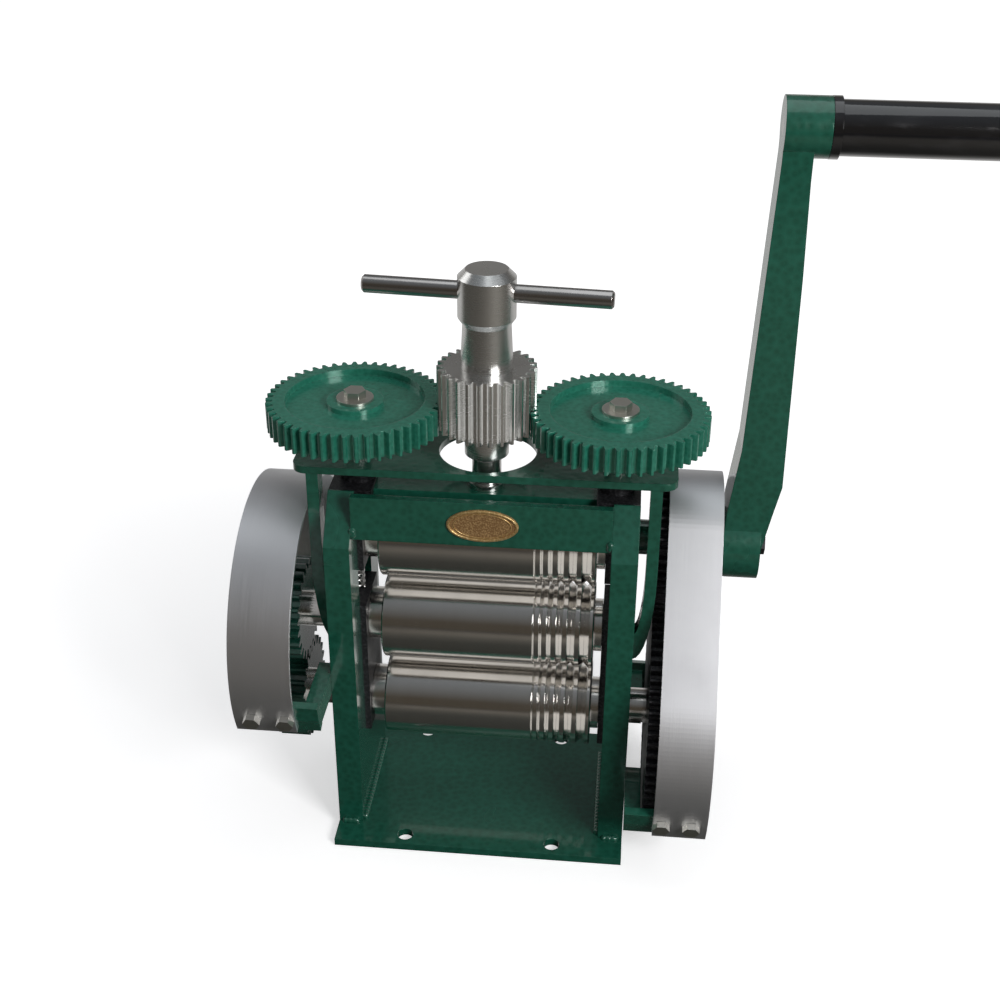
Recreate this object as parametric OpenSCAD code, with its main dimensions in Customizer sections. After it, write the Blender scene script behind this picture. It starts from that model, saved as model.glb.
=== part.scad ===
// Jewellers rolling mill: three grooved rolls, a geared screw-down on top and a geared crank at the side.
// +X runs along the rolls to the crank, +Y away from the front, +Z up.
// The origin is the middle of the base plate's underside.

/* [Frame] */
// Width of the base plate, and of the frame over its posts
base_w = 183; // [176:1:186]
// Depth of the base plate
base_d = 124; // [120:1:150]
// Thickness of the base plate
base_t = 5; // [4:0.5:9]
// Distance between the bolt holes across the width
hole_span_x = 94; // [70:1:110]
// Distance between the bolt holes across the depth
hole_span_y = 106; // [100:1:108]
// Diameter of the bolt holes
hole_d = 10; // [6:0.5:12]
// Thickness of each side post
post_t = 15.5; // [12:0.5:16]
// Depth of each side post
post_d = 87; // [84:1:96]
// Height of the post tops
post_top = 237.5; // [236:0.5:239]
// Width of the window in each post
slot_w = 41; // [38:0.5:44]

/* [Rolls] */
// Diameter of the rolls
roll_d = 54; // [50:0.5:55]
// Length of the rolls
roll_l = 130; // [124:0.5:131]
// Length of the plain part of the rolls
flat_l = 90; // [70:0.5:92]
// Height of the lowest roll's axis
roll_z = 79.5; // [78.5:0.1:80]
// Distance between roll axes when the mill is open
roll_pitch = 60; // [59.8:0.1:60.2]
// How far the rolls sit towards the crank
roll_shift = 2.5; // [0:0.5:3]
// Diameter of the roll necks
neck_d = 26; // [22:0.5:28]
// Widths of the wire grooves
groove_widths = [1.2, 2, 3, 4, 5, 6];
// Width of the gears that join two rolls
roll_gear_w = 19; // [12:0.5:20]

/* [Screw-down] */
// Module of the screw-down gears
screw_module = 2; // [1.97:0.01:2.02]
// Thickness of the two large gears
screw_gear_t = 16; // [10:0.5:17]
// Height of the large gears' undersides
screw_gear_z = 272; // [268:0.5:276]
// Diameter of the pressure screws
screw_d = 16; // [12:0.5:17]
// Length of the pinion on the spindle
spindle_pinion_l = 38; // [30:0.5:40]
// Height of the top of the spindle's head
head_top = 370; // [366:0.5:378]
// Diameter of the spindle's head
head_d = 33.2; // [31:0.2:36]
// Length of the cross bar
t_bar_l = 141.8; // [110:0.2:170]
// Diameter of the cross bar
t_bar_d = 10.4; // [7:0.1:11]
// Width of the top plate
plate_w = 224; // [215:1:232]
// Depth of the top plate
plate_d = 66.5; // [62:0.5:70]
// Thickness of the top plate
plate_t = 4.5; // [3:0.5:6]

/* [Guards] */
// Thickness of the guard sheets
guard_t = 2; // [1:0.1:3]
// Inner radius of the left guard
left_guard_r = 85; // [82:0.5:90]
// Width of the left guard
left_guard_w = 36.5; // [30:0.5:38]
// Inner radius of the right guard round the large gear
right_guard_r = 83; // [81:0.5:86]
// Inner radius of the right guard round the crank pinion
pinion_guard_r = 41.5; // [40.5:0.5:44]
// Width of the right guard
right_guard_w = 32.5; // [24:0.5:33]

/* [Crank] */
// Share of the post's rear leg, back from the window, at which the crank shaft sits
crank_share = 0.5; // [0.48:0.01:0.52]
// Distance from the crank shaft to the grip
crank_l = 258.7; // [220:0.5:280]
// Diameter of the crank shaft
shaft_d = 15; // [12:0.5:16]
// Diameter of the crank's hub
hub_d = 44; // [40:0.5:50]
// Diameter of the crank's eye
eye_d = 33; // [30:0.5:36]
// Length of the grip
grip_l = 124.5; // [90:0.5:140]
// Diameter of the grip
grip_d = 29.8; // [24:0.2:33]

/* [Hidden] */

$fn = 64;
// Overrun of every cut past the face it leaves
over = 1;
// Radial clearance of a shaft that turns in a bore
run_gap = 0.05;
// Clearance between pieces that slide on or lie against each other
seat_gap = 0.1;
// Clearance between the grip, its ferrule and the eye
end_gap = 0.2;
// Play taken off each flank of a gear tooth
flank_play = 0.15;
// Clearance between a tooth's tip and the root it turns in
root_gap = 0.5;
// Pressure angle of the gears
pressure_deg = 20;

green = [0.05, 0.22, 0.14];
steel = [0.65, 0.65, 0.66];
sheet = [0.78, 0.78, 0.80];
dark = [0.10, 0.11, 0.12];
brass = [0.62, 0.42, 0.18];

post_out = base_w / 2;
post_in = post_out - post_t;
post_y = post_d / 2;
slope_d = 22;
slope_h = 26.5;

// Crossbar and badge
crossbar_front = -36;
crossbar_t = 5;
crossbar_h = 28;
crossbar_rise = 4;
badge_x = 1.2;
badge_half_w = 21;
badge_half_h = 10.5;
badge_t = 0.8;

// Bearing blocks
block_half = 17;
block_lip = 3.5;
block_y = slot_w / 2 - seat_gap;
slot_z = roll_z - block_half - seat_gap;
slide_gap = 0.3;
spring_r = 6;
spring_wall = 1.5;

// Rolls
roll_r = roll_d / 2;
neck_r = neck_d / 2;
middle_z = roll_z + roll_pitch;
top_z = middle_z + roll_pitch;
roll_x0 = roll_shift - roll_l / 2;
roll_x1 = roll_shift + roll_l / 2;
roll_edge = 0.8;
collar_r = 16.4;
collar_end = post_in - block_lip - 2 * seat_gap;
gear_seat_r = 11;
roll_gear_teeth = 24;
roll_gear_module = roll_pitch / roll_gear_teeth;
roll_gear_gap = 21.5;
roll_gear_x = post_out + roll_gear_gap;

// Screw-down
screw_teeth = 50;
spindle_teeth = 27;
screw_addendum_share = 0.9;
screw_x = screw_module * (screw_teeth + spindle_teeth) / 2;
screw_r = screw_d / 2;
screw_seat_r = 7;
screw_tip_r = 5;
screw_tip_l = 10;
recess_r = 40.7;
recess_depth = 4;
gear_hub_r = 16.8;
gear_hub_drop = 1;
washer_r = 10.8;
washer_t = 1.6;
bolt_head_r = 6.5;
bolt_head_t = 4.4;
nut_h = 10;
nut_boss_r = 11;
nut_boss_h = 12;
nut_in = screw_x - nut_boss_r;
plate_z = post_top + nut_boss_h;
plate_y = 8.75;
plate_corner = 8;
plate_hole_r = 29;
plate_hole_y = 8;
plate_screw_gap = 2.5;
bridge_half_d = 13;
bridge_t = 7;
bridge_drop = 2;
bridge_z = post_top - bridge_drop - bridge_t;

// Spindle, from its foot up
foot_r = 8.7;
ring_r = 11;
ring_t = 3.4;
core_r = 13;
core_slope = 3;
core_foot = plate_z + plate_t;
pinion_z = screw_gear_z + 2;
pinion_top = pinion_z + spindle_pinion_l;
neck_low_r = 15.2;
neck_high_r = 13.9;
head_h = 28;
head_taper = 4;
head_chamfer = 4.5;
t_bar_drop = 13.5;
t_bar_turn = -4.3;
t_bar_chamfer = 1.2;

// Straps from the posts to the top plate
strap_gap = 5;
strap_t = 7;
strap_y0 = -24;
strap_y1 = -12.2;
strap_bend_z = 190;
strap_outer_drop = 58;
strap_inner_drop = 40;
strap_steps = 8;

// Crank reduction
drive_module = 2;
drive_teeth = 74;
pinion_teeth = 37;
drive_gap = 11;
drive_gear_w = 18.5;
drive_end = 3;
drive_recess = 4;
drive_rim = 12;
drive_hub_r = 20;
drive_x = post_out + drive_gap;
drive_dist = drive_module * (drive_teeth + pinion_teeth) / 2;
// The crank shaft runs in the post's rear leg
crank_y = slot_w / 2 + crank_share * (post_d - slot_w) / 2;
crank_z = roll_z + sqrt(pow(drive_dist, 2) - pow(crank_y, 2));
mesh_deg = atan2(crank_z - roll_z, crank_y);
shaft_r = shaft_d / 2;
boss_r = 11;
boss_l = drive_gap - 1;
shaft_head_r = 10;
shaft_head_t = 4.9;

// Guards and their brackets
left_guard_end_deg = 25;
left_guard_x = -142;
right_guard_end_deg = 30.5;
right_guard_x = 109;
guard_steps = 36;
flange_t = 5.5;
flange_l = 22;
bracket_h = 14;
bracket_t = 9.5;
bracket_seat = 12;
left_bolt_in = 12;
right_bolt_in = 16;
guard_bolt_r = 3;
guard_bolt_head_r = 5.2;
guard_bolt_head_t = 4;
guard_bolt_shares = [0.15, 0.7];

// Crank arm, across from the guard and up from the shaft
hub_x = 138.2;
hub_w = 27.4;
eye_x = 155.5;
eye_w = 24.8;
arm_span = eye_x + eye_w - hub_x;
arm_low_d = 30;
arm_high_d = 26;
arm_inner_shares = [[0.1, 0], [0.138, 0.114], [0.261, 0.272], [0.354, 0.688], [0.411, 0.937], [0.411, 1]];
arm_outer_shares = [[0.803, 1], [0.803, 0.898], [0.838, 0.69], [0.862, 0.38], [0.879, 0.183],
    [0.793, 0.117], [0.651, 0]];
crank_bolt_r = 7;
crank_bolt_t = 4.2;
crank_top = crank_z + crank_l;
ferrule_r = 16.7;
ferrule_t = 4.8;
pin_r = 5;
pin_head_r = 9;
pin_head_t = 3;
grip_round = 4;
ferrule_x = eye_x + eye_w + end_gap;
grip_x = ferrule_x + ferrule_t + end_gap;

function polar(r, a) = [r * cos(a), r * sin(a)];
function reversed(p) = [for (i = [len(p) - 1:-1:0]) p[i]];
function total(v, n) = n <= 0 ? 0 : v[n - 1] + total(v, n - 1);

// Half the angle of a tooth at radius r, from the involute of the pressure angle
function inv_deg(a) = tan(a) * 180 / PI - a;
function half_tooth(n, m, r) =
    let (pitch_r = m * n / 2, base_r = pitch_r * cos(pressure_deg))
    90 / n - flank_play / pitch_r * 180 / PI + inv_deg(pressure_deg) - inv_deg(acos(min(1, base_r / r)));
function tooth(n, m, add, a) =
    let (rp = m * n / 2, rs = [rp - add - root_gap, rp, rp + add])
    concat([for (r = rs) polar(r, a - half_tooth(n, m, r))],
        [for (r = reversed(rs)) polar(r, a + half_tooth(n, m, r))]);

// A toothed disc with a bore, its first tooth turned from the first axis
module gear(n, m, add, turn, w, bore) {
    difference() {
        linear_extrude(w) polygon([for (i = [0:n - 1]) each tooth(n, m, add, turn + i * 360 / n)]);
        translate([0, 0, -over]) cylinder(r = bore, h = w + 2 * over);
    }
}

// Lays a shape drawn along +Z down along +X, starting at x on the axis through y and z
module along_x(x, y, z) {
    translate([x, y, z]) rotate([90, 0, 90]) children();
}

module box(x0, x1, y0, y1, z0, z1) {
    translate([x0, y0, z0]) cube([x1 - x0, y1 - y0, z1 - z0]);
}

// Draws a right-hand piece on the left for side -1
module on_side(side) {
    if (side < 0) mirror([1, 0, 0]) children();
    else children();
}

module base_plate() {
    color(green) difference() {
        box(-post_out, post_out, -base_d / 2, base_d / 2, 0, base_t);
        for (sx = [-1, 1]) for (sy = [-1, 1]) translate([sx * hole_span_x / 2, sy * hole_span_y / 2, -over])
            cylinder(d = hole_d, h = base_t + 2 * over);
    }
}

module post(side) {
    color(green) difference() {
        on_side(side) along_x(post_in, 0, 0) linear_extrude(post_t) difference() {
            polygon([[-post_y, base_t], [post_y, base_t], [post_y, post_top - slope_h],
                [post_y - slope_d, post_top], [slope_d - post_y, post_top], [-post_y, post_top - slope_h]]);
            translate([-slot_w / 2, slot_z]) square([slot_w, post_top - slot_z + over]);
        }
        if (side > 0) along_x(post_in - over, crank_y, crank_z)
            cylinder(r = shaft_r + run_gap, h = post_t + 2 * over);
    }
}

module left_post() { post(-1); }
module right_post() { post(1); }

module front_crossbar() {
    top = post_top + crossbar_rise;
    color(green) box(-post_in, post_in, crossbar_front, crossbar_front + crossbar_t, top - crossbar_h, top);
}

module badge() {
    z = post_top + crossbar_rise - crossbar_h / 2;
    color(brass) translate([badge_x, crossbar_front, z]) rotate([90, 0, 0]) linear_extrude(badge_t)
        polygon([for (a = [0:7.5:352.5]) [badge_half_w * cos(a), badge_half_h * sin(a)]]);
}

module top_plate() {
    color(green) translate([0, 0, plate_z]) linear_extrude(plate_t) difference() {
        translate([0, plate_y]) union() {
            square([plate_w - 2 * plate_corner, plate_d], center = true);
            square([plate_w, plate_d - 2 * plate_corner], center = true);
            for (sx = [-1, 1]) for (sy = [-1, 1])
                translate([sx * (plate_w / 2 - plate_corner), sy * (plate_d / 2 - plate_corner)])
                    circle(plate_corner);
        }
        translate([0, plate_hole_y]) circle(plate_hole_r);
        for (s = [-1, 1]) translate([s * screw_x, 0]) circle(screw_r + plate_screw_gap);
    }
}

// One edge of a strap: straight at the top, then a quarter of an ellipse in to the post's face
function strap_edge(out, drop) = [for (i = [0:strap_steps])
    let (a = 90 * i / strap_steps) [post_out + out * cos(a), strap_bend_z - drop * sin(a)]];

module plate_strap(side) {
    outer = strap_gap + strap_t;
    color(green) on_side(side) translate([0, strap_y1, 0]) rotate([90, 0, 0])
        linear_extrude(strap_y1 - strap_y0) polygon(concat([[post_out + outer, plate_z]],
            strap_edge(outer, strap_outer_drop), reversed(strap_edge(strap_gap, strap_inner_drop)),
            [[post_out + strap_gap, plate_z]]));
}

module left_plate_strap() { plate_strap(-1); }
module right_plate_strap() { plate_strap(1); }

module screw_nut(side) {
    color(dark) on_side(side) difference() {
        union() {
            box(nut_in, post_out - seat_gap, -block_y, block_y, post_top - nut_h, post_top);
            translate([screw_x, 0, post_top]) cylinder(r = nut_boss_r, h = nut_boss_h);
        }
        translate([screw_x, 0, post_top - nut_h - over])
            cylinder(r = screw_r + run_gap, h = nut_h + nut_boss_h + 2 * over);
    }
}

module left_screw_nut() { screw_nut(-1); }
module right_screw_nut() { screw_nut(1); }

module spindle_bridge() {
    color(green) difference() {
        box(-nut_in, nut_in, -bridge_half_d, bridge_half_d, bridge_z, bridge_z + bridge_t);
        translate([0, 0, bridge_z - over]) cylinder(r = foot_r + run_gap, h = bridge_t + 2 * over);
    }
}

// A bearing block in the post's window, from low to high, with its bore at z
module block(side, z, low, high, gap = seat_gap) {
    half_y = slot_w / 2 - gap;
    x0 = post_in - block_lip;
    x1 = post_out - seat_gap;
    color(dark) on_side(side) difference() {
        box(x0, x1, -half_y, half_y, low, high);
        along_x(x0 - over, 0, z) cylinder(r = neck_r + run_gap, h = x1 - x0 + 2 * over);
    }
}

module left_bottom_block() { block(-1, roll_z, roll_z - block_half, roll_z + block_half); }
module right_bottom_block() { block(1, roll_z, roll_z - block_half, roll_z + block_half); }
module left_middle_block() { block(-1, middle_z, roll_z + block_half + seat_gap, middle_z + block_half); }
module right_middle_block() { block(1, middle_z, roll_z + block_half + seat_gap, middle_z + block_half); }
module left_top_block() { block(-1, top_z, top_z - block_half, top_z + block_half, slide_gap); }
module right_top_block() { block(1, top_z, top_z - block_half, top_z + block_half, slide_gap); }

module lift_spring(side) {
    z0 = middle_z + block_half;
    h = roll_pitch - 2 * block_half;
    color(steel) translate([side * (post_in + spring_r), 0, z0]) difference() {
        cylinder(r = spring_r, h = h);
        translate([0, 0, -over]) cylinder(r = spring_r - spring_wall, h = h + 2 * over);
    }
}

module left_lift_spring() { lift_spring(-1); }
module right_lift_spring() { lift_spring(1); }

// Points round a circle from angle a0 to a1
function sweep(c, r, a0, a1) = [for (i = [0:guard_steps])
    let (a = a0 + (a1 - a0) * i / guard_steps) [c[0] + r * cos(a), c[1] + r * sin(a)]];

// The right guard's line: round the large gear, along two tangents and round the crank pinion
function belt(grow) =
    let (open = acos((right_guard_r - pinion_guard_r) / drive_dist))
    concat(sweep([0, roll_z], right_guard_r + grow, 180 + right_guard_end_deg, mesh_deg + open),
        sweep([crank_y, crank_z], pinion_guard_r + grow, mesh_deg + open, mesh_deg - open),
        sweep([0, roll_z], right_guard_r + grow, mesh_deg - open, -right_guard_end_deg));

function guard_r(side) = side < 0 ? left_guard_r : right_guard_r;
function guard_z(side) = side < 0 ? middle_z : roll_z;
function guard_end(side) = side < 0 ? left_guard_end_deg : right_guard_end_deg;
function guard_x(side) = side < 0 ? left_guard_x : right_guard_x;
function guard_w(side) = side < 0 ? left_guard_w : right_guard_w;
function guard_bolt_in(side) = side < 0 ? left_bolt_in : right_bolt_in;

// Places a shape at a guard's end, its +Z pointing out of the sheet, this far in from the end
module at_guard_end(side, s, in) {
    a = guard_end(side) - in / guard_r(side) * 180 / PI;
    translate([0, 0, guard_z(side)]) mirror([0, s > 0 ? 1 : 0, 0]) rotate([90 + a, 0, 0]) children();
}

// Two bolts through each end, at shares of the width from the edge nearer the post
module guard_bolt_places(side) {
    near = side < 0 ? left_guard_x + left_guard_w : right_guard_x;
    for (s = [-1, 1]) for (share = guard_bolt_shares) at_guard_end(side, s, guard_bolt_in(side))
        translate([near + side * share * guard_w(side), 0, 0]) children();
}

module guard_bolt_hole(side) {
    translate([0, 0, guard_r(side) - flange_t - over])
        cylinder(r = guard_bolt_r, h = flange_t + guard_t + 2 * over);
}

module left_guard() {
    color(sheet) difference() {
        along_x(left_guard_x, 0, middle_z) difference() {
            cylinder(r = left_guard_r + guard_t, h = left_guard_w);
            translate([0, 0, -over]) cylinder(r = left_guard_r, h = left_guard_w + 2 * over);
            translate([0, 0, -over]) linear_extrude(left_guard_w + 2 * over) polygon([[0, 0],
                polar(2 * left_guard_r, 180 + left_guard_end_deg), polar(2 * left_guard_r, 270),
                polar(2 * left_guard_r, -left_guard_end_deg)]);
        }
        guard_bolt_places(-1) guard_bolt_hole(-1);
    }
}

module right_guard() {
    color(sheet) difference() {
        along_x(right_guard_x, 0, 0) linear_extrude(right_guard_w)
            polygon(concat(belt(guard_t), reversed(belt(0))));
        guard_bolt_places(1) guard_bolt_hole(1);
    }
}

// A flange inside each end of the guard, and an arm from it to the post's outer face
module guard_brackets(side) {
    r = guard_r(side);
    end = guard_end(side);
    back = flange_l / r * 180 / PI;
    z = guard_z(side) - r * sin(end - back / 2);
    x1 = side < 0 ? -guard_x(side) : guard_x(side) + guard_w(side);
    color(green) for (s = [-1, 1]) difference() {
        on_side(side) mirror([0, s > 0 ? 1 : 0, 0]) union() {
            along_x(post_out, 0, guard_z(side)) linear_extrude(x1 - post_out) polygon(concat(
                [for (i = [0:2]) polar(r - seat_gap, 180 + end - back * i / 2)],
                [for (i = [2:-1:0]) polar(r - flange_t, 180 + end - back * i / 2)]));
            intersection() {
                box(post_out, post_out + bracket_t, -r, bracket_seat - post_y,
                    z - bracket_h / 2, z + bracket_h / 2);
                along_x(post_out - over, 0, guard_z(side))
                    cylinder(r = r - flange_t / 2, h = bracket_t + 2 * over);
            }
        }
        guard_bolt_places(side) guard_bolt_hole(side);
    }
}

module left_guard_brackets() { guard_brackets(-1); }
module right_guard_brackets() { guard_brackets(1); }

module guard_bolts(side) {
    r = guard_r(side);
    color(steel) guard_bolt_places(side) {
        translate([0, 0, r + guard_t]) cylinder(r = guard_bolt_head_r, h = guard_bolt_head_t, $fn = 6);
        translate([0, 0, r - flange_t]) cylinder(r = guard_bolt_r, h = flange_t + guard_t);
    }
}

module left_guard_bolts() { guard_bolts(-1); }
module right_guard_bolts() { guard_bolts(1); }

module crank_boss() {
    color(green) along_x(post_out, crank_y, crank_z) difference() {
        cylinder(r = boss_r, h = boss_l);
        translate([0, 0, -over]) cylinder(r = shaft_r + run_gap, h = boss_l + 2 * over);
    }
}

module spindle() {
    foot_z = bridge_z + seat_gap;
    ring_z = bridge_z + bridge_t + seat_gap;
    head_z = head_top - head_h;
    color(steel) difference() {
        rotate_extrude() polygon([[0, foot_z], [foot_r, foot_z], [foot_r, ring_z], [ring_r, ring_z],
            [ring_r, ring_z + ring_t], [foot_r, ring_z + ring_t], [foot_r, core_foot],
            [core_r, core_foot + core_slope], [core_r, pinion_top], [neck_low_r, pinion_top],
            [neck_high_r, head_z - head_taper], [head_d / 2, head_z], [head_d / 2, head_top - head_chamfer],
            [head_d / 2 - head_chamfer, head_top], [0, head_top]]);
        translate([0, 0, head_top - t_bar_drop]) rotate([0, 90, t_bar_turn])
            cylinder(d = t_bar_d, h = head_d + 2 * over, center = true);
    }
}

module t_bar() {
    half = t_bar_l / 2;
    r = t_bar_d / 2;
    color(steel) translate([0, 0, head_top - t_bar_drop]) rotate([0, 90, t_bar_turn]) rotate_extrude()
        polygon([[0, -half], [r - t_bar_chamfer, -half], [r, t_bar_chamfer - half],
            [r, half - t_bar_chamfer], [r - t_bar_chamfer, half], [0, half]]);
}

module spindle_pinion() {
    color(steel) translate([0, 0, pinion_z]) gear(spindle_teeth, screw_module,
        screw_addendum_share * screw_module, 0, spindle_pinion_l, core_r);
}

// A large screw-down gear with a recess in its top face round a low hub
module screw_gear(side) {
    turn = side < 0 ? 0 : 180 / screw_teeth;
    color(green) translate([side * screw_x, 0, screw_gear_z]) difference() {
        gear(screw_teeth, screw_module, screw_addendum_share * screw_module, turn,
            screw_gear_t, screw_seat_r);
        translate([0, 0, screw_gear_t - recess_depth]) difference() {
            cylinder(r = recess_r, h = recess_depth + over);
            translate([0, 0, -over]) cylinder(r = gear_hub_r, h = recess_depth - gear_hub_drop + over);
        }
    }
}

module left_gear() { screw_gear(-1); }
module right_gear() { screw_gear(1); }

module pressure_screw(side) {
    foot_z = top_z + block_half + seat_gap;
    color(steel) translate([side * screw_x, 0, 0]) union() {
        translate([0, 0, foot_z]) cylinder(r = screw_tip_r, h = screw_tip_l);
        translate([0, 0, foot_z + screw_tip_l])
            cylinder(r = screw_r, h = screw_gear_z - foot_z - screw_tip_l);
        translate([0, 0, screw_gear_z]) cylinder(r = screw_seat_r, h = screw_gear_t - gear_hub_drop);
    }
}

module left_pressure_screw() { pressure_screw(-1); }
module right_pressure_screw() { pressure_screw(1); }

module gear_bolt(side) {
    color(steel) translate([side * screw_x, 0, screw_gear_z + screw_gear_t - gear_hub_drop]) union() {
        cylinder(r = washer_r, h = washer_t);
        translate([0, 0, washer_t]) cylinder(r = bolt_head_r, h = bolt_head_t, $fn = 6);
    }
}

module left_gear_bolt() { gear_bolt(-1); }
module right_gear_bolt() { gear_bolt(1); }

// Grooves widen towards the crank, with equal lands between them
groove_land = (roll_l - flat_l - total(groove_widths, len(groove_widths))) / (len(groove_widths) + 1);
function groove_start(i) = flat_l + groove_land * (i + 1) + total(groove_widths, i);

// A roll with its collars and necks, and thinner ends that carry gears
module roll(z, left_end, right_end) {
    inner = post_out - seat_gap;
    color(steel) union() {
        along_x(roll_x0, 0, z) rotate_extrude() polygon(concat(
            [[0, 0], [roll_r - roll_edge, 0], [roll_r, roll_edge]],
            [for (i = [0:len(groove_widths) - 1]) let (s = groove_start(i), w = groove_widths[i])
                each [[roll_r, s], [roll_r - w / 2, s + w / 2], [roll_r, s + w]]],
            [[roll_r, roll_l - roll_edge], [roll_r - roll_edge, roll_l], [0, roll_l]]));
        along_x(-collar_end, 0, z) cylinder(r = collar_r, h = 2 * collar_end);
        along_x(-inner, 0, z) cylinder(r = neck_r, h = 2 * inner);
        along_x(-left_end, 0, z) cylinder(r = gear_seat_r, h = left_end + right_end);
    }
}

module top_roll() { roll(top_z, post_out - seat_gap, post_out - seat_gap); }
module middle_roll() { roll(middle_z, roll_gear_x + roll_gear_w + over, post_out - seat_gap); }
module bottom_roll() { roll(roll_z, roll_gear_x + roll_gear_w + over, drive_x + drive_gear_w + drive_end); }

module roll_gear(z, turn) {
    color(green) along_x(-roll_gear_x - roll_gear_w, 0, z)
        gear(roll_gear_teeth, roll_gear_module, roll_gear_module, turn, roll_gear_w, gear_seat_r);
}

module middle_roll_gear() { roll_gear(middle_z, 0); }
module bottom_roll_gear() { roll_gear(roll_z, 180 / roll_gear_teeth); }

module drive_gear() {
    rim_r = drive_module * drive_teeth / 2 - drive_rim;
    color(dark) along_x(drive_x, 0, roll_z) difference() {
        gear(drive_teeth, drive_module, drive_module, mesh_deg, drive_gear_w, gear_seat_r);
        translate([0, 0, drive_gear_w - drive_recess]) difference() {
            cylinder(r = rim_r, h = drive_recess + over);
            translate([0, 0, -over]) cylinder(r = drive_hub_r, h = drive_recess + 3 * over);
        }
    }
}

module crank_pinion() {
    color(dark) along_x(drive_x, crank_y, crank_z) gear(pinion_teeth, drive_module, drive_module,
        mesh_deg + 180 + 180 / pinion_teeth, drive_gear_w, shaft_r);
}

module crank_shaft() {
    inner = post_in - seat_gap;
    color(steel) union() {
        along_x(inner - shaft_head_t, crank_y, crank_z) cylinder(r = shaft_head_r, h = shaft_head_t);
        along_x(inner, crank_y, crank_z) cylinder(r = shaft_r, h = hub_x + hub_w - inner);
    }
}

module crank_bolt() {
    color(dark) along_x(hub_x + hub_w, crank_y, crank_z)
        cylinder(r = crank_bolt_r, h = crank_bolt_t, $fn = 6);
}

// The arm is its front outline crossed with its side outline, with the hub and the eye added
module crank_arm() {
    color(green) difference() {
        union() {
            intersection() {
                translate([hub_x, crank_y + hub_d / 2, crank_z]) rotate([90, 0, 0]) linear_extrude(hub_d)
                    polygon([for (p = concat(arm_inner_shares, arm_outer_shares))
                        [p[0] * arm_span, p[1] * crank_l]]);
                along_x(hub_x - over, crank_y, crank_z) linear_extrude(arm_span + 2 * over)
                    polygon([[-arm_low_d / 2, -over], [arm_low_d / 2, -over],
                        [arm_high_d / 2, crank_l + over], [-arm_high_d / 2, crank_l + over]]);
            }
            along_x(hub_x, crank_y, crank_z) cylinder(d = hub_d, h = hub_w);
            along_x(eye_x, crank_y, crank_top) cylinder(d = eye_d, h = eye_w);
        }
        along_x(hub_x - over, crank_y, crank_z) cylinder(r = shaft_r, h = arm_span + 2 * over);
        along_x(hub_x - over, crank_y, crank_top) cylinder(r = pin_r, h = arm_span + 2 * over);
    }
}

module grip_pin() {
    l = grip_x + grip_l + end_gap - eye_x;
    color(steel) along_x(eye_x, crank_y, crank_top) union() {
        cylinder(r = pin_r, h = l + pin_head_t);
        translate([0, 0, l]) cylinder(r = pin_head_r, h = pin_head_t);
    }
}

module grip_ferrule() {
    color(dark) along_x(ferrule_x, crank_y, crank_top) difference() {
        cylinder(r = ferrule_r, h = ferrule_t);
        translate([0, 0, -over]) cylinder(r = pin_r + run_gap, h = ferrule_t + 2 * over);
    }
}

module grip() {
    r = grip_d / 2;
    color(dark) along_x(grip_x, crank_y, crank_top) difference() {
        rotate_extrude() polygon([[0, 0], [r, 0], [r, grip_l - grip_round],
            [r - grip_round, grip_l], [0, grip_l]]);
        translate([0, 0, -over]) cylinder(r = pin_r + run_gap, h = grip_l + 2 * over);
    }
}

base_plate();
left_post();
right_post();
front_crossbar();
badge();
top_plate();
left_plate_strap();
right_plate_strap();
left_screw_nut();
right_screw_nut();
spindle_bridge();
left_bottom_block();
right_bottom_block();
left_middle_block();
right_middle_block();
left_top_block();
right_top_block();
left_lift_spring();
right_lift_spring();
left_guard();
right_guard();
left_guard_brackets();
right_guard_brackets();
left_guard_bolts();
right_guard_bolts();
crank_boss();
spindle();
t_bar();
spindle_pinion();
left_gear();
right_gear();
left_pressure_screw();
right_pressure_screw();
left_gear_bolt();
right_gear_bolt();
top_roll();
middle_roll();
bottom_roll();
middle_roll_gear();
bottom_roll_gear();
drive_gear();
crank_arm();
crank_shaft();
crank_pinion();
crank_bolt();
grip_pin();
grip_ferrule();
grip();
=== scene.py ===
"""Dresses the rolling mill: its finishes, welds, lift springs and badge rim, with floor, lamps and camera."""

from __future__ import annotations

import logging
import math
from dataclasses import dataclass, field
from enum import Enum
from typing import Callable, Sequence, Union

import bpy
from mathutils import Matrix, Vector


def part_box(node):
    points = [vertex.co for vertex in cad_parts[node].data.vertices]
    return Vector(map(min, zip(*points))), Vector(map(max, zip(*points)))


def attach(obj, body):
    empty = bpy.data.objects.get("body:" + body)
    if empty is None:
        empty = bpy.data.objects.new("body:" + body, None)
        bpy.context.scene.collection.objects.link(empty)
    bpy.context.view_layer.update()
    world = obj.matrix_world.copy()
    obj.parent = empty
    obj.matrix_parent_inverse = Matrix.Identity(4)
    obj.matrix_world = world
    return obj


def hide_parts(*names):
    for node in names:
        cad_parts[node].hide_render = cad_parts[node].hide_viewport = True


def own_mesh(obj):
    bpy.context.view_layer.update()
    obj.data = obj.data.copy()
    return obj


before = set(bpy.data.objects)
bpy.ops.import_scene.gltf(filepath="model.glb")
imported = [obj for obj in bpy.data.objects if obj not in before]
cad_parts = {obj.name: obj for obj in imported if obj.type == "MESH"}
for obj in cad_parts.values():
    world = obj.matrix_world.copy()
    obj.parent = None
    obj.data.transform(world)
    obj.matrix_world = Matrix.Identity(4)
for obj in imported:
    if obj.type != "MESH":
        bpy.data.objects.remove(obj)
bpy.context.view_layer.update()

LOG = logging.getLogger("rolling_mill")
MM = 0.001
Colour = tuple[float, float, float]


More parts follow.
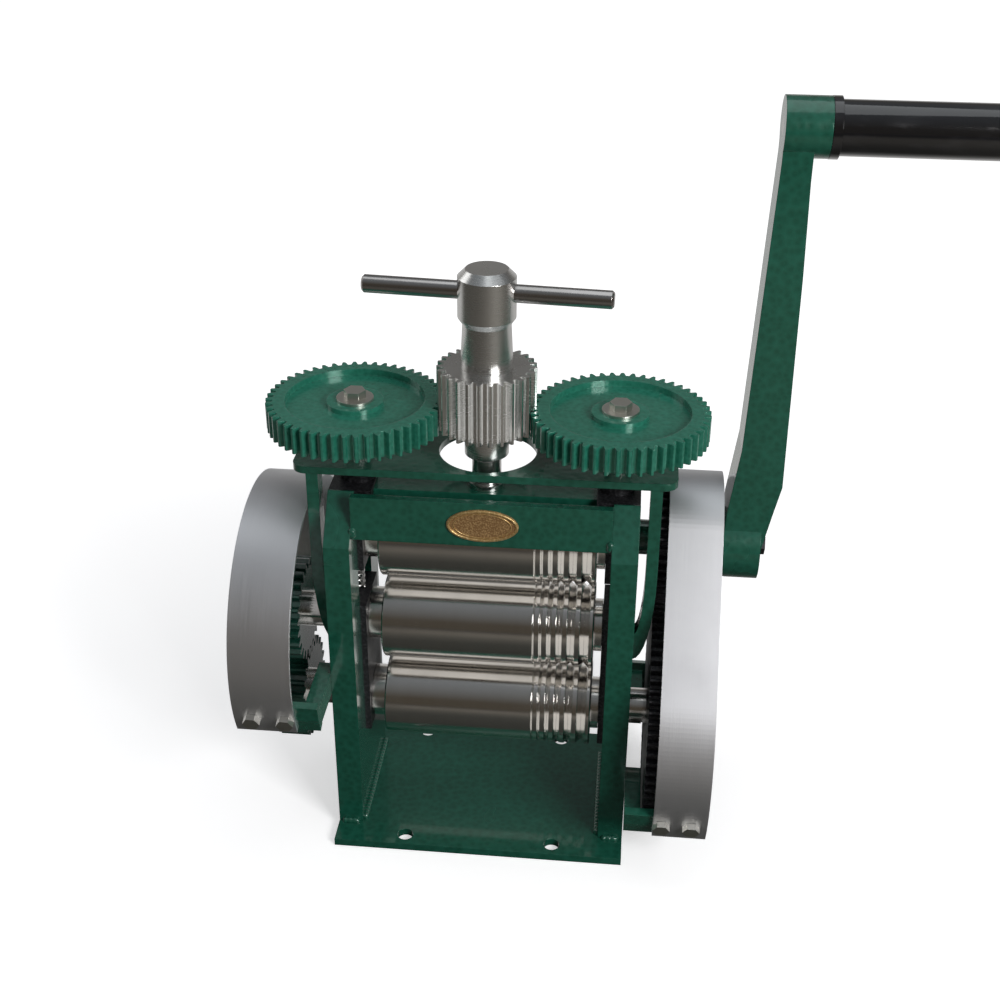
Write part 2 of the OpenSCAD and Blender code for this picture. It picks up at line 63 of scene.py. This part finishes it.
class Axis(Enum):
    """The direction along which a turned or ground surface changes fastest."""

    X = (1.0, 0.02, 0.02)
    Y = (0.02, 1.0, 0.02)
    Z = (0.02, 0.02, 1.0)


class Value:
    """A shader socket that can be used in Python sums."""

    def __init__(self, graph: "Graph", socket: bpy.types.NodeSocket) -> None:
        """Keeps the socket and the graph that it belongs to."""
        self.graph = graph
        self.socket = socket

    def _math(self, operation: str, first: "Input", second: "Input") -> "Value":
        """Adds one Math node and returns its result."""
        return self.graph.node("ShaderNodeMath", {"operation": operation}, {0: first, 1: second})

    def __add__(self, other: "Input") -> "Value":
        """self + other."""
        return self._math("ADD", self, other)

    def __radd__(self, other: "Input") -> "Value":
        """other + self."""
        return self._math("ADD", other, self)

    def __sub__(self, other: "Input") -> "Value":
        """self - other."""
        return self._math("SUBTRACT", self, other)

    def __rsub__(self, other: "Input") -> "Value":
        """other - self."""
        return self._math("SUBTRACT", other, self)

    def __mul__(self, other: "Input") -> "Value":
        """self * other."""
        return self._math("MULTIPLY", self, other)

    def __rmul__(self, other: "Input") -> "Value":
        """other * self."""
        return self._math("MULTIPLY", other, self)


Input = Union[Value, float, Sequence[float]]


class Graph:
    """The node tree of a material or a world, built up from nothing."""

    def __init__(self, owner: Union[bpy.types.Material, bpy.types.World]) -> None:
        """Empties the owner's tree."""
        owner.use_nodes = True
        self.owner = owner
        self.tree = owner.node_tree
        self.tree.nodes.clear()

    @classmethod
    def material(cls, name: str) -> "Graph":
        """The graph of a new material."""
        return cls(bpy.data.materials.new(name))

    def node(self, kind: str, settings: dict | None = None, inputs: dict | None = None,
             output: Union[int, str] = 0) -> Value:
        """Adds one node.

        Args:
            kind: the node's type.
            settings: its settings, set first; "stops" gives a ramp's places and colours.
            inputs: values or links, by socket name or number.
            output: the socket to return.

        Returns:
            The chosen output, ready for sums.
        """
        made = self.tree.nodes.new(kind)
        for key, value in (settings or {}).items():
            if key == "stops":
                self._set_stops(made.color_ramp, value)
            else:
                setattr(made, key, value)
        for key, value in (inputs or {}).items():
            if isinstance(value, Value):
                self.tree.links.new(value.socket, made.inputs[key])
            else:
                made.inputs[key].default_value = value
        return Value(self, made.outputs[output])

    @staticmethod
    def _set_stops(ramp: bpy.types.ColorRamp, stops: Sequence[tuple[float, float]]) -> None:
        """Gives a ramp grey stops, each a place and a level."""
        while len(ramp.elements) < len(stops):
            ramp.elements.new(1.0)
        for element, (place, level) in zip(ramp.elements, stops):
            element.position = place
            element.color = (level, level, level, 1.0)

    def place(self, scale: Sequence[float] = (1.0, 1.0, 1.0)) -> Value:
        """The point on the piece in its own frame, stretched by scale."""
        point = self.node("ShaderNodeTexCoord", output="Object")
        return self.node("ShaderNodeVectorMath", {"operation": "MULTIPLY"}, {0: point, 1: tuple(scale)})

    def noise(self, scale: float, stretch: Sequence[float] = (1.0, 1.0, 1.0), detail: float = 3.0) -> Value:
        """Soft noise from 0 to 1, with scale features in a metre."""
        return self.node("ShaderNodeTexNoise", {},
                         {"Vector": self.place(stretch), "Scale": scale, "Detail": detail})

    def cells(self, scale: float, smooth: float = 0.6) -> Value:
        """Rounded dimples, scale of them in a metre."""
        return self.node("ShaderNodeTexVoronoi", {"feature": "SMOOTH_F1"},
                         {"Vector": self.place(), "Scale": scale, "Smoothness": smooth}, "Distance")

    def ramp(self, value: Input, stops: Sequence[tuple[float, float]]) -> Value:
        """Maps a value through grey stops."""
        return self.node("ShaderNodeValToRGB", {"stops": stops}, {"Fac": value})

    def mix(self, factor: Input, first: Input, second: Input) -> Value:
        """Blends two colours by a factor."""
        return self.node("ShaderNodeMix", {"data_type": "RGBA"},
                         {0: factor, 6: _rgba(first), 7: _rgba(second)}, 2)

    def relief(self, height: Value, depth: float, edge: float) -> Value:
        """A normal from a height of this depth, over edges rounded by edge, both in metres."""
        rounded = self.node("ShaderNodeBevel", {"samples": 4}, {"Radius": edge})
        return self.node("ShaderNodeBump", {}, {"Strength": 1.0, "Distance": depth, "Height": height,
                                                "Normal": rounded})

    def surface(self, **inputs: Input) -> bpy.types.Material:
        """Ends the material with one Principled shader.

        Args:
            inputs: its sockets, with _ for each space in a name.

        Returns:
            The finished material.
        """
        named = {key.replace("_", " "): value for key, value in inputs.items()}
        shader = self.node("ShaderNodeBsdfPrincipled", {}, named)
        self.end(shader, "ShaderNodeOutputMaterial")
        return self.owner

    def end(self, shader: Value, kind: str) -> None:
        """Links a shader to an output node of this kind."""
        made = self.tree.nodes.new(kind)
        self.tree.links.new(shader.socket, made.inputs["Surface"])


def _rgba(value: Input) -> Input:
    """Adds full alpha to a plain colour."""
    return value if isinstance(value, Value) else (*value, 1.0)


@dataclass(frozen=True)
class HammeredPaint:
    """Gloss paint that dries in small dimples."""

    name: str
    colour: Colour
    light: Colour
    dimples: float = 260.0
    depth: float = 0.00014

    def make(self) -> bpy.types.Material:
        """Builds the material."""
        g = Graph.material(self.name)
        dimple = g.cells(self.dimples)
        drift = g.noise(14.0)
        fleck = g.ramp(g.noise(900.0, detail=1.0), [(0.58, 0.0), (0.72, 1.0)])
        pale = g.ramp(dimple, [(0.2, 0.0), (0.8, 1.0)]) * 0.2 + drift * 0.22 + fleck * 0.05
        colour = g.mix(pale, self.colour, self.light)
        rough = 0.18 + drift * 0.14
        height = dimple + g.noise(60.0) * 0.5
        return g.surface(Base_Color=colour, Roughness=rough, Metallic=0.15, Coat_Weight=0.6,
                         Coat_Roughness=0.06, Normal=g.relief(height, self.depth, 0.8 * MM))


@dataclass(frozen=True)
class WorkedSteel:
    """Turned, ground or plated metal with fine marks across one axis."""

    name: str
    colour: Colour
    worn: Colour
    axis: Axis
    roughness: float
    marks: float = 2500.0
    depth: float = 0.00003
    edge: float = 0.4 * MM
    wear: float = 0.45

    def make(self) -> bpy.types.Material:
        """Builds the material."""
        g = Graph.material(self.name)
        marks = g.noise(self.marks, self.axis.value, 2.0)
        bands = g.noise(self.marks / 16, self.axis.value, 1.0)
        stain = g.ramp(g.noise(26.0, detail=5.0), [(0.42, 0.0), (0.75, 1.0)])
        colour = g.mix(stain * self.wear + bands * 0.15, self.colour, self.worn)
        rough = self.roughness + marks * 0.10 + stain * 0.08
        return g.surface(Base_Color=colour, Roughness=rough, Metallic=1.0,
                         Normal=g.relief(marks + bands * 1.5, self.depth, self.edge))


@dataclass(frozen=True)
class RoughCast:
    """Dark oiled or blackened iron, or a pressed metal plate, with a grainy skin."""

    name: str
    colour: Colour
    raised: Colour
    roughness: float
    grain: float
    depth: float
    metallic: float

    def make(self) -> bpy.types.Material:
        """Builds the material."""
        g = Graph.material(self.name)
        skin = g.noise(self.grain, detail=6.0)
        patch = g.noise(self.grain / 14)
        colour = g.mix(g.ramp(skin, [(0.45, 0.0), (0.68, 1.0)]), self.colour, self.raised)
        rough = self.roughness + patch * 0.2
        return g.surface(Base_Color=colour, Roughness=rough, Metallic=self.metallic,
                         Normal=g.relief(skin + patch, self.depth, 0.4 * MM))


@dataclass(frozen=True)
class MouldedGloss:
    """Black glossy plastic with a faint orange-peel skin and light rubbing."""

    name: str
    colour: Colour

    def make(self) -> bpy.types.Material:
        """Builds the material."""
        g = Graph.material(self.name)
        peel = g.noise(420.0, detail=1.0)
        rub = g.ramp(g.noise(40.0, (1.0, 3.0, 3.0), 6.0), [(0.5, 0.0), (0.8, 1.0)])
        colour = g.mix(rub * 0.25, self.colour, (0.05, 0.05, 0.055))
        return g.surface(Base_Color=colour, Roughness=0.10 + rub * 0.16, Coat_Weight=1.0,
                         Normal=g.relief(peel, 0.00004, 0.6 * MM))


GREEN = HammeredPaint("green_paint", (0.005, 0.068, 0.040), (0.030, 0.22, 0.148))
# A lighter copy of the green paint for the top gears, which face the lamps: painted light.
GREEN_LIT = HammeredPaint("green_paint_lit_gears", (0.012, 0.14, 0.088), (0.07, 0.40, 0.29), 380.0, 0.0001)
# A darker copy of the green paint for the roll gears in the shade of the left guard: painted shade.
GREEN_SHADED = HammeredPaint("green_paint_shaded", (0.004, 0.035, 0.024), (0.02, 0.11, 0.075), 500.0, 0.0001)
SHEET = WorkedSteel("guard_sheet", (0.72, 0.72, 0.74), (0.56, 0.56, 0.58), Axis.X, 0.42, 1200.0, 0.00002)
ROLL_STEEL = WorkedSteel("ground_steel", (0.70, 0.68, 0.65), (0.44, 0.42, 0.39), Axis.X, 0.09,
                         depth=0.00001, wear=0.2)
SPINDLE_STEEL = WorkedSteel("bright_steel", (0.70, 0.70, 0.69), (0.48, 0.47, 0.45), Axis.Z, 0.20,
                            depth=0.00001)
BAR_STEEL = WorkedSteel("bright_steel_bar", (0.48, 0.46, 0.45), (0.34, 0.32, 0.30), Axis.X, 0.14,
                        depth=0.00001)
ZINC = WorkedSteel("zinc", (0.62, 0.61, 0.56), (0.40, 0.38, 0.33), Axis.Z, 0.30, 700.0)
BLACK = RoughCast("black_iron", (0.012, 0.012, 0.014), (0.05, 0.05, 0.055), 0.34, 700.0, 0.00012, 0.4)
BRASS = RoughCast("badge_brass", (0.31, 0.17, 0.07), (0.66, 0.43, 0.19), 0.36, 1000.0, 0.0003, 0.5)
RIM_BRASS = RoughCast("badge_rim_brass", (0.45, 0.29, 0.11), (0.72, 0.52, 0.25), 0.24, 900.0, 0.0001, 0.6)
GRIP = MouldedGloss("grip_black", (0.006, 0.006, 0.007))


class Workshop:
    """Makes each finish once, dresses nodes with it and turns mesh data into pieces."""

    def __init__(self) -> None:
        """Starts with no finishes made."""
        self.made: dict[str, bpy.types.Material] = {}

    def finish(self, finish: "Finish") -> bpy.types.Material:
        """The material of a finish, made on first use."""
        if finish.name not in self.made:
            self.made[finish.name] = finish.make()
        return self.made[finish.name]

    def dress(self, nodes: Sequence[str], finish: "Finish") -> None:
        """Gives frame nodes a finish."""
        for name in nodes:
            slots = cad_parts[name].data.materials
            slots.clear()
            slots.append(self.finish(finish))
            LOG.info("dressed %s with %s", name, finish.name)

    def piece(self, name: str, verts: list, faces: list, finish: "Finish", body: str,
              slot: str) -> bpy.types.Object:
        """Makes a smooth mesh piece that rides on a body.

        Args:
            name: the piece's name.
            verts: its points, in metres.
            faces: its faces, as point numbers.
            finish: what it is finished with.
            body: the body that it moves with.
            slot: the record's material slot; not used.

        Returns:
            The new object.
        """
        mesh = bpy.data.meshes.new(name)
        mesh.from_pydata(verts, [], faces)
        mesh.validate()
        mesh.shade_smooth()
        mesh.materials.append(self.finish(finish))
        obj = bpy.data.objects.new(name, mesh)
        bpy.context.scene.collection.objects.link(obj)
        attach(obj, body)
        LOG.info("made %s on %s", name, body)
        return obj


Finish = Union[HammeredPaint, WorkedSteel, RoughCast, MouldedGloss]


def tube(path: Sequence[Vector], radius: Callable[[int], float], sides: int,
         closed: bool = False) -> tuple[list, list]:
    """Sweeps a round section along a path.

    Args:
        path: the middle of the section at each step, in metres.
        radius: the section's radius at a step.
        sides: corners in the section.
        closed: whether the last step joins the first.

    Returns:
        Points and faces.
    """
    verts: list = []
    faces: list = []
    count = len(path)
    normal = None
    for i, point in enumerate(path):
        ahead = path[(i + 1) % count] if closed or i + 1 < count else point
        behind = path[i - 1] if closed or i else point
        tangent = (ahead - behind).normalized()
        if normal is None:
            normal = tangent.orthogonal().normalized()
        normal = (normal - tangent * normal.dot(tangent)).normalized()
        side = tangent.cross(normal)
        for k in range(sides):
            a = 2 * math.pi * k / sides
            verts.append(point + (normal * math.cos(a) + side * math.sin(a)) * radius(i))
    for i in range(count if closed else count - 1):
        j = (i + 1) % count
        for k in range(sides):
            m = (k + 1) % sides
            faces.append((i * sides + k, i * sides + m, j * sides + m, j * sides + k))
    if not closed:
        faces.append(tuple(reversed(range(sides))))
        faces.append(tuple(range((count - 1) * sides, count * sides)))
    return verts, faces


@dataclass
class MillFrame:
    """The welded frame: base, posts, crossbar, top plate, straps, blocks, nuts and badge."""

    shop: Workshop
    painted: list[str] = field(default_factory=lambda: [
        "base_plate", "left_post", "right_post", "front_crossbar", "top_plate", "left_plate_strap",
        "right_plate_strap", "spindle_bridge", "left_guard_brackets", "right_guard_brackets", "crank_boss"])
    bead_r: float = 2.0 * MM
    bead_ripple: float = 0.35 * MM
    bead_pitch: float = 3.2 * MM

    def build(self) -> None:
        """Dresses the frame and adds its welds and badge rim."""
        self.shop.dress(self.painted, GREEN)
        # The screw nuts and roll blocks are green-painted parts standing in shade; the black iron finish on
        # them is painted shade.
        self.shop.dress([f"{s}_{p}" for s in ("left", "right") for p in (
            "screw_nut", "bottom_block", "middle_block", "top_block")], BLACK)
        self.shop.dress(["badge"], BRASS)
        self._welds()
        self._badge_rim()

    def _bead(self, name: str, start: Vector, end: Vector) -> None:
        """Lays one rippled weld bead in a straight line."""
        steps = max(8, int((end - start).length / self.bead_pitch * 6))
        path = [start.lerp(end, i / steps) for i in range(steps + 1)]

        def radius(i: int) -> float:
            """The bead's radius, rippled along it and closed at its ends."""
            close = min(1.0, 0.35 + min(i, steps - i) / 4)
            return (self.bead_r + self.bead_ripple * abs(math.sin(math.pi * i / 6))) * close

        verts, faces = tube(path, radius, 10)
        self.shop.piece(name, verts, faces, GREEN, "frame", "green_paint")

    def _welds(self) -> None:
        """Beads at the inside of the posts' feet and at the crossbar's ends."""
        foot_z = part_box("base_plate")[1].z + self.bead_r * 0.3
        bar_low, bar_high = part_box("front_crossbar")
        for side, post in ((-1, "left_post"), (1, "right_post")):
            low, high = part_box(post)
            inner = high.x if side < 0 else low.x
            x = inner - side * self.bead_r * 0.4
            self._bead(f"{post}_foot_weld", Vector((x, low.y + 2 * MM, foot_z)),
                       Vector((x, high.y - 2 * MM, foot_z)))
            for end, y in (("front", low.y - self.bead_r * 0.4), ("rear", high.y + self.bead_r * 0.4)):
                self._bead(f"{post}_{end}_toe_weld", Vector((low.x + 2 * MM, y, foot_z)),
                           Vector((high.x - 2 * MM, y, foot_z)))
            self._bead(f"{post}_crossbar_weld", Vector((x, bar_low.y, bar_low.z + 1 * MM)),
                       Vector((x, bar_low.y, bar_low.z + 8 * MM)))

    def _badge_rim(self) -> None:
        """A raised border round the badge."""
        low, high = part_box("badge")
        middle = (low + high) / 2
        half_w, half_h = (high.x - low.x) / 2 - 1.1 * MM, (high.z - low.z) / 2 - 1.1 * MM
        steps = 96
        for name, share, r in (("badge_rim", 1.0, 0.9 * MM), ("badge_inner_line", 0.84, 0.4 * MM)):
            turns = (2 * math.pi * i / steps for i in range(steps))
            path = [Vector((middle.x + share * half_w * math.cos(a), low.y,
                            middle.z + share * half_h * math.sin(a))) for a in turns]
            verts, faces = tube(path, lambda _: r, 8, closed=True)
            self.shop.piece(name, verts, faces, RIM_BRASS, "frame", "badge_brass")


@dataclass
class LiftSprings:
    """Coils that hold the top blocks up; the real ones shorten as the screws come down, these stay at rest
    length.
    """

    shop: Workshop
    wire_r: float = 0.9 * MM
    turns: int = 6
    travel: float = 5.8 * MM

    def build(self) -> None:
        """Replaces both plain tubes by coils."""
        for node in ("left_lift_spring", "right_lift_spring"):
            low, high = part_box(node)
            middle = (low + high) / 2
            r = (high.x - low.x) / 2 - self.wire_r - 0.1 * MM
            z0, z1 = low.z + self.wire_r, high.z - self.wire_r
            steps = self.turns * 24
            path = []
            for i in range(steps + 1):
                t = i / steps
                a = 2 * math.pi * self.turns * t
                path.append(Vector((middle.x + r * math.cos(a), middle.y + r * math.sin(a),
                                    z0 + (z1 - z0) * t)))
            verts, faces = tube(path, lambda _: self.wire_r, 8)
            coil = self.shop.piece(f"{node}_coil", verts, faces, SPINDLE_STEEL, "frame", "bright_steel")
            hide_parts(node)
            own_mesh(coil)


@dataclass
class Guards:
    """The two bent sheets and the bolts that hold them."""

    shop: Workshop

    def build(self) -> None:
        """Dresses the sheets and the bolts."""
        self.shop.dress(["left_guard", "right_guard"], SHEET)
        self.shop.dress(["left_guard_bolts", "right_guard_bolts"], ZINC)


@dataclass
class RollStack:
    """The three rolls and the gears on their ends."""

    shop: Workshop

    def build(self) -> None:
        """Dresses rolls and gears."""
        self.shop.dress(["top_roll", "middle_roll", "bottom_roll"], ROLL_STEEL)
        # The roll gears inside the left guard get the darker copy of the green paint: painted shade.
        self.shop.dress(["middle_roll_gear", "bottom_roll_gear"], GREEN_SHADED)
        self.shop.dress(["drive_gear"], BLACK)


@dataclass
class ScrewDown:
    """Spindle, cross bar, pinion, the two large gears and their screws."""

    shop: Workshop

    def build(self) -> None:
        """Dresses the screw-down."""
        self.shop.dress(["spindle", "spindle_pinion", "left_pressure_screw", "right_pressure_screw"],
                        SPINDLE_STEEL)
        self.shop.dress(["t_bar"], BAR_STEEL)
        # The top gears get the lighter copy of the green paint: painted light.
        self.shop.dress(["left_gear", "right_gear"], GREEN_LIT)
        self.shop.dress(["left_gear_bolt", "right_gear_bolt"], ZINC)


@dataclass
class Crank:
    """The arm with its shaft, pinion and turning grip."""

    shop: Workshop

    def build(self) -> None:
        """Dresses the crank."""
        self.shop.dress(["crank_arm"], GREEN)
        self.shop.dress(["crank_shaft", "grip_pin"], BAR_STEEL)
        self.shop.dress(["crank_pinion", "crank_bolt"], BLACK)
        self.shop.dress(["grip", "grip_ferrule"], GRIP)


@dataclass(frozen=True)
class Lamp:
    """One square soft lamp that faces the mill."""

    name: str
    place: tuple[float, float, float]
    size: float
    power: float
    colour: Colour = (1.0, 1.0, 1.0)

    def build(self) -> None:
        """Hangs the lamp."""
        data = bpy.data.lights.new(self.name, "AREA")
        data.size = self.size
        data.energy = self.power
        data.color = self.colour
        lamp = bpy.data.objects.new(self.name, data)
        lamp.location = self.place
        lamp.rotation_euler = (Vector((0, 0, 0.2)) - Vector(self.place)).to_track_quat("-Z", "Y").to_euler()
        bpy.context.scene.collection.objects.link(lamp)


LAMPS = (Lamp("overhead", (0.10, 0.10, 1.45), 1.0, 2.8, (0.94, 0.98, 1.0)),
         Lamp("key", (0.85, -0.95, 0.85), 0.5, 13.0),
         Lamp("rim", (-0.9, 0.35, 0.9), 0.5, 1.2))


@dataclass
class Studio:
    """A white floor and backdrop with a dim brown room in front of them, soft lamps and the camera.

    Metal shows the pale floor and backdrop behind the mill, and the room where it mirrors the front. A floor
    that is mirrored twice, as between two rolls, shows white.
    """

    focal_mm: float = 51.87
    elevation: float = 29.235
    azimuth: float = 5.358
    roll: float = 0.327
    target: Vector = field(default_factory=lambda: Vector((7.92, 0.0, 224.8)) * MM)
    distance: float = 860.6 * MM
    soft_glow: Colour = (0.25, 0.25, 0.26)
    low_glow: Colour = (0.075, 0.064, 0.050)
    high_glow: Colour = (0.20, 0.215, 0.23)
    # The floor's colour near the mill for bounced and mirrored rays: painted shade.
    floor_painted_shade: Colour = (0.05, 0.05, 0.042)
    floor_brown: Colour = (0.17, 0.155, 0.13)
    back_level: float = 0.5

    def build(self) -> None:
        """Makes floor, world, lamps and camera."""
        self._floor()
        self._world()
        for lamp in LAMPS:
            lamp.build()
        self._camera()

    def _floor(self) -> None:
        """A wide floor under the base plate, brighter away from it; near the mill it shows painted shade to
        bounced and mirrored rays.
        """
        g = Graph.material("studio_floor")
        tone = g.mix(g.noise(3.0) * 0.1, (0.86, 0.86, 0.86), (0.82, 0.82, 0.82))
        seen, mirrored = self._rays(g)
        away = g.node("ShaderNodeVectorMath", {"operation": "LENGTH"}, {0: g.place()}, "Value")
        glow = g.ramp(away, [(0.25, 0.5), (0.9, 0.85)])
        times = g.node("ShaderNodeLightPath", output="Glossy Depth")
        twice = g.node("ShaderNodeMath", {"operation": "GREATER_THAN"}, {0: times, 1: 1.5})
        white = g.ramp(self._behind(g, g.place()) * self.back_level + twice, [(0.0, 0.0), (1.0, 1.0)])
        # Bounced and mirrored rays see the floor darker near the mill: painted shade under it.
        dim = g.mix(g.ramp(away, [(0.2, 0.0), (0.55, 1.0)]), self.floor_painted_shade, self.floor_brown)
        material = g.surface(Base_Color=g.mix(seen, dim, tone), Roughness=0.8,
                             Emission_Color=seen * glow + mirrored * white, Emission_Strength=1.0)
        mesh = bpy.data.meshes.new("floor")
        half = 4.0
        corners = [(-half, -half, 0), (half, -half, 0), (half, half, 0), (-half, half, 0)]
        mesh.from_pydata(corners, [], [(0, 1, 2, 3)])
        mesh.materials.append(material)
        floor = bpy.data.objects.new("floor", mesh)
        bpy.context.scene.collection.objects.link(floor)
        floor.location.z = -0.2 * MM

    @staticmethod
    def _rays(g: Graph) -> tuple[Value, Value]:
        """Whether a ray comes straight from the camera, and whether metal or gloss sent it."""
        straight = g.node("ShaderNodeLightPath", output="Is Camera Ray")
        through = g.node("ShaderNodeLightPath", output="Is Transmission Ray")
        return straight + through, g.node("ShaderNodeLightPath", output="Is Glossy Ray")

    @staticmethod
    def _behind(g: Graph, point: Value) -> Value:
        """0 in front of the mill and 1 well behind it, from a place or a direction."""
        return g.ramp(g.node("ShaderNodeSeparateXYZ", {}, {0: point}, "Y"), [(0.05, 0.0), (0.35, 1.0)])

    def _world(self) -> None:
        """Soft light, white to the camera and low behind the mill, a brown to grey room elsewhere."""
        world = bpy.data.worlds.new("studio")
        bpy.context.scene.world = world
        g = Graph(world)
        ray = g.node("ShaderNodeTexCoord", output="Generated")
        height = g.node("ShaderNodeSeparateXYZ", {}, {0: ray}, "Z")
        room = g.mix(g.ramp(height, [(0.3, 0.0), (0.9, 1.0)]), self.low_glow, self.high_glow)
        seen, mirrored = self._rays(g)
        backdrop = self._behind(g, ray) * g.ramp(height, [(0.15, 1.0), (0.4, 0.0)])
        shown = g.mix(backdrop * self.back_level, room, (1.0, 1.0, 1.0))
        colour = g.mix(seen, g.mix(mirrored, self.soft_glow, shown), (1.0, 1.0, 1.0))
        g.end(g.node("ShaderNodeBackground", {}, {"Color": colour}), "ShaderNodeOutputWorld")

    def _camera(self) -> None:
        """The photograph's camera."""
        e, a, r = (math.radians(v) for v in (self.elevation, self.azimuth, self.roll))
        ahead = Vector((-math.sin(a) * math.cos(e), math.cos(a) * math.cos(e), -math.sin(e)))
        level = Vector((math.cos(a), math.sin(a), 0))
        above = level.cross(ahead)
        right = level * math.cos(r) + above * math.sin(r)
        up = above * math.cos(r) - level * math.sin(r)
        data = bpy.data.cameras.new("camera")
        data.sensor_fit = "HORIZONTAL"
        data.sensor_width = 36.0
        data.lens = self.focal_mm
        camera = bpy.data.objects.new("camera", data)
        place = self.target - ahead * self.distance
        turn = Matrix((right, up, -ahead)).transposed().to_4x4()
        camera.matrix_world = Matrix.Translation(place) @ turn
        bpy.context.scene.collection.objects.link(camera)
        bpy.context.scene.camera = camera


def main() -> None:
    """Builds every sub-assembly in order."""
    logging.basicConfig(level=logging.INFO, format="%(name)s: %(message)s")
    bpy.context.scene.view_settings.view_transform = "Standard"
    Studio().build()
    shop = Workshop()
    for part in (MillFrame, LiftSprings, Guards, RollStack, ScrewDown, Crank):
        part(shop).build()
        LOG.info("%s is done", part.__name__)


if __name__ == "__main__":
    main()
